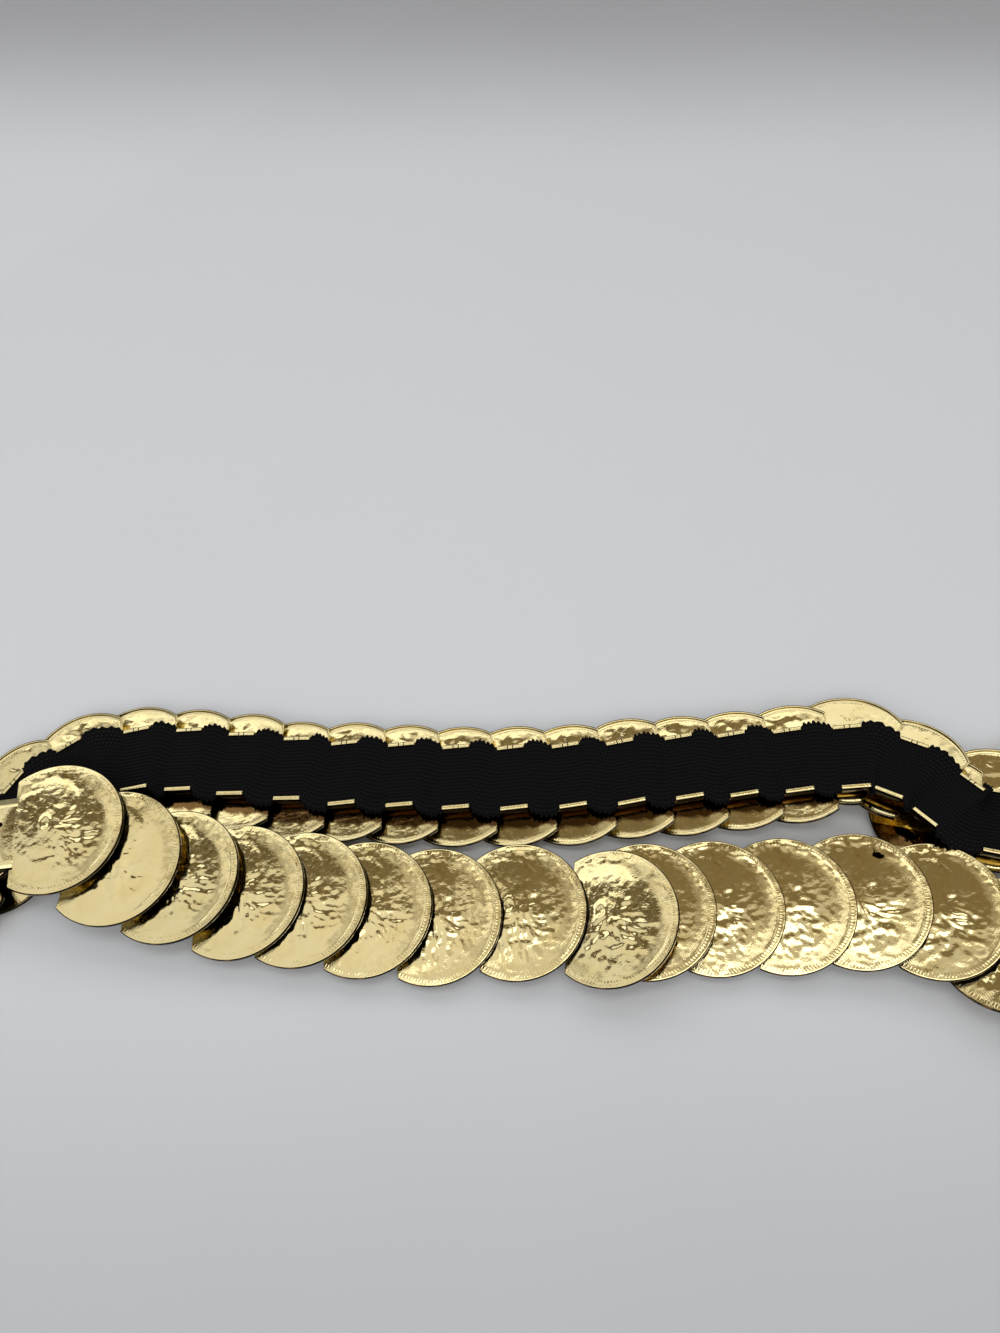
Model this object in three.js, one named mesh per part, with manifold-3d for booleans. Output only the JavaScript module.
// A stretch coin belt, unfastened and laid on a flat surface in a long loop.
// Stamped metal coins overlap like fish scales. Each coin is one piece with its tongue, and the
// tongue's two edges are folded round one strip of wide black elastic.
// Millimetres, +Z up. The belt rests on Z = 0, and its near side is towards -Y.
import * as THREE from "three";
import { mergeVertices } from "three/addons/utils/BufferGeometryUtils.js";
import Module from "manifold-3d";

// ---- driving dimensions -------------------------------------------------------------------
const COIN_RADIUS = 22.25; // a 44.5 mm coin
const CHORD = 12.7; // the straight cut, from the coin's centre
const METAL = 0.5;
const RIM_DEPTH = 1.3; // the edge turned down all round, from the coin's face
const RIM_WALL = 0.6;
const BEAD_WIDTH = 2.4;
const BEAD_HEIGHT = 0.35;
const COIN_SEGMENTS = 26; // round the whole coin, before the cut

const NECK = 1.7; // from the chord to the folded lips
const LIP_LENGTH = 9.3; // along the belt
const TONGUE_WIDTH = 24.4;
const LIP_REACH = 2.0; // how far a lip folds over the elastic, from the tongue's edge

const ELASTIC_THICK = 1.2;
const ELASTIC_HELD = 22.6; // its width inside a tongue
const ELASTIC_FREE = 27.6; // its width half-way between two tongues
const EDGE_ROUND = 0.6;
const CLEAR = 0.3; // between two touching pieces

const CLAMP_LENGTH = 8;
const CLAMP_WIDTH = 23.6;
const CLAMP_METAL = 0.6;
const HOOK_WIDTH = 9;
const HOOK_REACH = 8;
const HOOK_MOUTH = 1.6;
const LOOP_LENGTH = 7;
const LOOP_BAR = 1.6;
const LOOP_WIDTH = 16;
const END_CLAMP_GAP = 1.8; // from a lip's end to the clamp's mouth
const CATCH_DROP = 1.5; // the last clamp lies this far inside the last coin's plane

const GOLD = { color: 0xb8944a, roughness: 0.25, metalness: 1 };
const BLACK = { color: 0x0b0b0c, roughness: 0.9, metalness: 0 };

// ---- the lay of the belt: one row for each coin, by the middle of its tongue ------------------
// x, y: place on the surface. head: the belt's heading in degrees, from +X towards +Y.
// tilt: how far the coin's free edge stands outwards. lean: 90 lies face up, 0 stands on its edge,
// -90 lies face down. lift: height over resting on the surface.
const COIN_ROWS = [
  // x, y, head, tilt, lean, lift: the near side, face up, from the hooked end
  [-162.6, 119.1, 8, 1, 90, 14.6],
  [-143.1, 116, -8, 3, 86, 9.4],
  [-124.4, 109, -2, 7, 90, 5],
  [-103.3, 103.4, 2, 7, 90, 2.6],
  [-83, 101.4, 1, 7, 90, 2.4],
  [-62.3, 97.6, 4, 7, 90, 1],
  [-40, 94.6, 7, 7, 90, 0],
  [-13, 97.5, 2, 9, 90, 0],
  [16.6, 97.1, -7, 18, 90, 0],
  [27.6, 98, -1, 8, 90, 2.4],
  [50.2, 97.6, 6, 7, 90, 0],
  [72.7, 97.3, 8, 10, 90, 0],
  [95.9, 99.4, 4, 13, 90, 1],
  [119.3, 98.9, -5, 13, 90, 2],
  [142, 95.1, -29, 17, 90, 1],
  // the bend at the right, standing on its edge
  [163.5, 84.5, -20, 23, 90, 0],
  [185.5, 78, -10, 32, 85, 0],
  [207.5, 78, 14, 39.5, 73, 0],
  [226, 90, 52, 45, 47, 0],
  [232.5, 110, 92, 36, 6, 0],
  [223.5, 128.5, 138, 33, -46, 0],
  [205, 136, 176, 16, -88, 0],
  [185.5, 134.5, 184, 12.5, -90, 0],
  // the far side, face down, to the end with the catch
  [165.5, 126.5, 162, 12, -90, 0],
  [148.5, 132.8, 124, 17, -90, 0],
  [135.6, 144.8, 146, 16.5, -90, 0],
  [119.7, 149.4, 178, 15.5, -90, 0],
  [100.2, 148.9, 183, 13, -90, 0],
  [81.2, 147.8, 185, 12, -90, 0],
  [62.8, 146.8, 185, 12, -90, 0],
  [42.9, 145.2, 187, 11, -90, 0],
  [23.7, 144.2, 185, 10, -90, 0],
  [4.3, 143.5, 183, 9.5, -90, 0],
  [-14.9, 143.7, 181, 9.5, -90, 0],
  [-33.8, 144.6, 181, 9.5, -90, 0],
  [-53.4, 145.2, 182, 9.5, -90, 0],
  [-71.1, 147, 177, 9, -90, 0],
  [-90.5, 148.8, 177, 9, -90, 0],
  [-108.7, 150.4, 179, 9, -90, 0],
  [-125.4, 150.6, 188, 9, -90, 0],
  [-143.6, 146.1, 210, 9.5, -90, 0],
  [-155.4, 134.4, 233, 11, -90, 0],
  [-165.5, 119.6, 219, 11.5, -90, 0],
];

// ---- helpers ----------------------------------------------------------------------------------
const wasm = await Module();
wasm.setup();

function toSolid(geometry) {
  const bare = geometry.clone();
  bare.deleteAttribute("normal");
  bare.deleteAttribute("uv");
  const merged = mergeVertices(bare, 1e-4);
  return new wasm.Manifold(
    new wasm.Mesh({
      numProp: 3,
      vertProperties: new Float32Array(merged.attributes.position.array),
      triVerts: new Uint32Array(merged.index.array),
    }),
  );
}

function toGeometry(solid) {
  const mesh = solid.getMesh();
  const geometry = new THREE.BufferGeometry();
  geometry.setAttribute("position", new THREE.BufferAttribute(mesh.vertProperties, 3));
  geometry.setIndex(new THREE.BufferAttribute(mesh.triVerts, 1));
  geometry.computeVertexNormals();
  return geometry;
}

// A box from its lowest and highest corners.
function boxBetween([x0, y0, z0], [x1, y1, z1]) {
  const box = new THREE.BoxGeometry(x1 - x0, y1 - y0, z1 - z0);
  box.translate((x0 + x1) / 2, (y0 + y1) / 2, (z0 + z1) / 2);
  return toSolid(box);
}

// ---- one coin ---------------------------------------------------------------------------------
// Its own axes: +X along the belt from the tongue to the coin, +Y across the belt, +Z outwards.
// The origin is the middle of the elastic in the middle of the tongue.
const PLATE_BOTTOM = ELASTIC_THICK / 2 + CLEAR;
const PLATE_TOP = PLATE_BOTTOM + METAL;
const LIP_TOP = -ELASTIC_THICK / 2 - CLEAR;
const CHORD_X = LIP_LENGTH / 2 + NECK;
const COIN_CENTRE_X = CHORD_X + CHORD;

function discSolid() {
  const inner = COIN_RADIUS - RIM_WALL;
  const profile = [
    [0, -METAL],
    [inner, -METAL],
    [inner, -RIM_DEPTH],
    [COIN_RADIUS, -RIM_DEPTH],
    [COIN_RADIUS, 0],
    [COIN_RADIUS - BEAD_WIDTH / 2, BEAD_HEIGHT],
    [COIN_RADIUS - BEAD_WIDTH, 0],
    [0, 0],
  ].map(([r, z]) => new THREE.Vector2(r, z));
  const lathe = new THREE.LatheGeometry(profile, COIN_SEGMENTS);
  lathe.rotateX(Math.PI / 2);
  lathe.translate(COIN_CENTRE_X, 0, PLATE_TOP);
  const cutOff = boxBetween(
    [CHORD_X - COIN_RADIUS, -COIN_RADIUS * 1.1, -COIN_RADIUS],
    [CHORD_X, COIN_RADIUS * 1.1, COIN_RADIUS],
  );
  return toSolid(lathe).subtract(cutOff);
}

function tongueSolid() {
  const half = TONGUE_WIDTH / 2;
  const lipBottom = LIP_TOP - METAL;
  const lipEnd = LIP_LENGTH / 2;
  const plate = boxBetween([-lipEnd, -half, PLATE_BOTTOM], [CHORD_X + METAL, half, PLATE_TOP]);
  const folds = [-1, 1].map((side) => {
    const section = new THREE.Shape();
    section.moveTo(side * half, PLATE_TOP - METAL / 2);
    section.lineTo(side * half, lipBottom);
    section.lineTo(side * (half - LIP_REACH), lipBottom);
    section.lineTo(side * (half - LIP_REACH), LIP_TOP);
    section.lineTo(side * (half - METAL), LIP_TOP);
    section.lineTo(side * (half - METAL), PLATE_TOP - METAL / 2);
    const fold = new THREE.ExtrudeGeometry(section, { depth: LIP_LENGTH, bevelEnabled: false });
    // section X, Y and depth become the coin's +Y, +Z and +X
    fold.applyMatrix4(
      new THREE.Matrix4().makeBasis(
        new THREE.Vector3(0, 1, 0),
        new THREE.Vector3(0, 0, 1),
        new THREE.Vector3(1, 0, 0),
      ),
    );
    fold.translate(-lipEnd, 0, 0);
    return toSolid(fold);
  });
  return plate.add(folds[0]).add(folds[1]);
}

const coinGeometry = toGeometry(discSolid().add(tongueSolid()));

// ---- where each coin lies ---------------------------------------------------------------------
function axesOf(head, tilt, lean) {
  const [h, t, l] = [head, tilt, lean].map(THREE.MathUtils.degToRad);
  const along = new THREE.Vector3(Math.cos(h), Math.sin(h), 0);
  const rightward = new THREE.Vector3(Math.sin(h), -Math.cos(h), 0);
  const up = new THREE.Vector3(0, 0, 1);
  const outward = rightward.clone().multiplyScalar(Math.cos(l)).addScaledVector(up, Math.sin(l));
  const across = up.clone().multiplyScalar(Math.cos(l)).addScaledVector(rightward, -Math.sin(l));
  const alongCoin = along.clone().multiplyScalar(Math.cos(t)).addScaledVector(outward, Math.sin(t));
  const face = outward.clone().multiplyScalar(Math.cos(t)).addScaledVector(along, -Math.sin(t));
  return [alongCoin, across, face];
}

// The coin's matrix: turned, then set down until its lowest corner meets the surface, then lifted.
function coinMatrix([x, y, head, tilt, lean, lift]) {
  const matrix = new THREE.Matrix4().makeBasis(...axesOf(head, tilt, lean));
  const corner = new THREE.Vector3();
  const corners = coinGeometry.getAttribute("position");
  let lowest = Infinity;
  for (let i = 0; i < corners.count; i++) {
    lowest = Math.min(lowest, corner.fromBufferAttribute(corners, i).applyMatrix4(matrix).z);
  }
  return matrix.setPosition(x, y, lift - lowest);
}

const coinMatrices = COIN_ROWS.map(coinMatrix);
const place = (matrix, x, y, z) => new THREE.Vector3(x, y, z).applyMatrix4(matrix);
const axis = (matrix, i) => new THREE.Vector3().setFromMatrixColumn(matrix, i);

// ---- the elastic ------------------------------------------------------------------------------
// Straight inside each tongue, and one smooth curve with bulging edges from tongue to tongue.
const FREE_STEPS = [0.16, 0.38, 0.62, 0.84];
const TANGENT_SHARE = 0.9; // how stiffly the elastic leaves a tongue
const FULL_BULGE_GAP = 8; // between tongues closer than this the elastic bulges less
const LYING = 0.999; // a tongue this upright lies flat, and its free elastic sags to the surface

function elasticStation(centre, acrossAxis, faceAxis, width) {
  return { centre, across: acrossAxis.clone().normalize(), face: faceAxis, width };
}

function tongueStation(matrix, x) {
  return elasticStation(place(matrix, x, 0, 0), axis(matrix, 1), axis(matrix, 2), ELASTIC_HELD);
}

function freeStations(from, to, sags) {
  const start = place(from, LIP_LENGTH / 2, 0, 0);
  const end = place(to, -LIP_LENGTH / 2, 0, 0);
  const gap = start.distanceTo(end);
  const reach = gap * TANGENT_SHARE;
  const swell = (ELASTIC_FREE - ELASTIC_HELD) * Math.min(1, gap / FULL_BULGE_GAP);
  const startPull = axis(from, 0).multiplyScalar(reach);
  const endPull = axis(to, 0).multiplyScalar(reach);
  return FREE_STEPS.map((t) => {
    const centre = new THREE.Vector3();
    centre.addScaledVector(start, 2 * t ** 3 - 3 * t ** 2 + 1);
    centre.addScaledVector(startPull, t ** 3 - 2 * t ** 2 + t);
    centre.addScaledVector(end, 3 * t ** 2 - 2 * t ** 3);
    centre.addScaledVector(endPull, t ** 3 - t ** 2);
    const turned = THREE.MathUtils.smootherstep(t, 0, 1);
    const across = axis(from, 1).lerp(axis(to, 1), turned);
    const face = axis(from, 2).lerp(axis(to, 2), turned);
    const inMiddle = t > 0.3 && t < 0.7;
    if (sags && inMiddle) {
      centre.z = ELASTIC_THICK / 2;
      across.z = 0;
      face.set(0, 0, 1);
    }
    const width = ELASTIC_HELD + swell * Math.sin(Math.PI * t) ** 0.6;
    centre.z = Math.max(centre.z, (ELASTIC_THICK + Math.abs(across.z) * width) / 2);
    return elasticStation(centre, across, face.normalize(), width);
  });
}

// The tape's section: two flat faces and two blunt edges.
function sectionPoints({ centre, across, face, width }) {
  const half = width / 2;
  const flat = half - EDGE_ROUND;
  const thick = ELASTIC_THICK / 2;
  const outline = [
    [half, 0],
    [flat, thick],
    [-flat, thick],
    [-half, 0],
    [-flat, -thick],
    [flat, -thick],
  ];
  return outline.map(([a, f]) => centre.clone().addScaledVector(across, a).addScaledVector(face, f));
}

// A closed skin over sections that all have the same number of points.
function loftGeometry(sections) {
  const count = sections[0].length;
  const last = (sections.length - 1) * count;
  const index = [];
  for (let s = 0; s < last; s += count) {
    for (let i = 0; i < count; i++) {
      const j = (i + 1) % count;
      index.push(s + i, s + j, s + count + j, s + i, s + count + j, s + count + i);
    }
  }
  for (let i = 1; i < count - 1; i++) {
    index.push(0, i + 1, i, last, last + i, last + i + 1);
  }
  const geometry = new THREE.BufferGeometry().setFromPoints(sections.flat());
  geometry.setIndex(index);
  geometry.computeVertexNormals();
  return geometry;
}

const ELASTIC_TAIL = CLAMP_LENGTH - CLAMP_METAL - CLEAR; // how far an end runs into its clamp
const firstCoin = coinMatrices[0];
const lastCoin = coinMatrices[coinMatrices.length - 1];
const hookMatrix = firstCoin
  .clone()
  .multiply(new THREE.Matrix4().makeTranslation(-LIP_LENGTH / 2 - END_CLAMP_GAP, 0, 0));
const catchMatrix = lastCoin
  .clone()
  .multiply(new THREE.Matrix4().makeTranslation(LIP_LENGTH / 2 + 2 * END_CLAMP_GAP, 0, -CATCH_DROP));

function elasticGeometry() {
  const stations = [tongueStation(hookMatrix, -ELASTIC_TAIL), tongueStation(hookMatrix, 0)];
  coinMatrices.forEach((matrix, i) => {
    stations.push(tongueStation(matrix, -LIP_LENGTH / 2), tongueStation(matrix, LIP_LENGTH / 2));
    const next = coinMatrices[i + 1];
    if (!next) return;
    const lying = [matrix, next].every((m) => axis(m, 1).z ** 2 < 1 - LYING && axis(m, 2).z > 0);
    const low = COIN_ROWS[i][5] === 0 && COIN_ROWS[i + 1][5] === 0;
    stations.push(...freeStations(matrix, next, lying && low));
  });
  stations.push(tongueStation(catchMatrix, 0), tongueStation(catchMatrix, ELASTIC_TAIL));
  return loftGeometry(stations.map(sectionPoints));
}

// ---- the two end pieces -----------------------------------------------------------------------
// A strip of metal folded over the end of the elastic. side is -1 where the closed end is towards -X.
function clampSolid(side) {
  const half = CLAMP_WIDTH / 2;
  const inside = ELASTIC_THICK / 2 + CLEAR;
  const outside = inside + CLAMP_METAL;
  const block = boxBetween(
    [Math.min(0, side * CLAMP_LENGTH), -half, -outside],
    [Math.max(0, side * CLAMP_LENGTH), half, outside],
  );
  const closed = side * (CLAMP_LENGTH - CLAMP_METAL);
  const hollow = boxBetween(
    [Math.min(-side, closed), -half - 1, -inside],
    [Math.max(-side, closed), half + 1, inside],
  );
  return block.subtract(hollow);
}

// The hook: a strip that runs on from its clamp and folds back under itself.
function hookGeometry() {
  const [start, end] = [-CLAMP_LENGTH + CLAMP_METAL / 2, -CLAMP_LENGTH - HOOK_REACH];
  const half = HOOK_WIDTH / 2;
  const low = -HOOK_MOUTH - CLAMP_METAL;
  const tongue = boxBetween([end, -half, 0], [start, half, CLAMP_METAL]);
  const turn = boxBetween([end, -half, low], [end + CLAMP_METAL, half, CLAMP_METAL]);
  const back = boxBetween([end, -half, low], [end + HOOK_REACH * 0.75, half, low + CLAMP_METAL]);
  return toGeometry(clampSolid(-1).add(tongue).add(turn).add(back));
}

// The catch: a flat loop on its clamp, which the hook drops into.
function catchGeometry() {
  const start = CLAMP_LENGTH - CLAMP_METAL / 2;
  const end = CLAMP_LENGTH + LOOP_LENGTH;
  const half = LOOP_WIDTH / 2;
  const thick = CLAMP_METAL / 2;
  const plate = boxBetween([start, -half, -thick], [end, half, thick]);
  const slot = boxBetween(
    [CLAMP_LENGTH + LOOP_BAR, -half + LOOP_BAR, -1],
    [end - LOOP_BAR, half - LOOP_BAR, 1],
  );
  return toGeometry(clampSolid(1).add(plate).subtract(slot));
}

// ---- the belt ---------------------------------------------------------------------------------
const belt = new THREE.Group();
belt.name = "coin_belt";
const gold = new THREE.MeshStandardMaterial(GOLD);
const black = new THREE.MeshStandardMaterial(BLACK);

function addMesh(name, geometry, material, matrix) {
  const mesh = new THREE.Mesh(geometry, material);
  mesh.name = name;
  if (matrix) mesh.applyMatrix4(matrix);
  belt.add(mesh);
}

coinMatrices.forEach((matrix, i) => {
  addMesh(`coin_${String(i + 1).padStart(2, "0")}`, coinGeometry, gold, matrix);
});
addMesh("elastic_band", elasticGeometry(), black);
addMesh("end_hook", hookGeometry(), gold, hookMatrix);
addMesh("end_catch", catchGeometry(), gold, catchMatrix);

// The part's origin is the middle of the surface under the whole belt.
belt.updateMatrixWorld(true);
const middle = new THREE.Box3().setFromObject(belt, true).getCenter(new THREE.Vector3());
belt.position.set(-middle.x, -middle.y, 0);

export default belt;
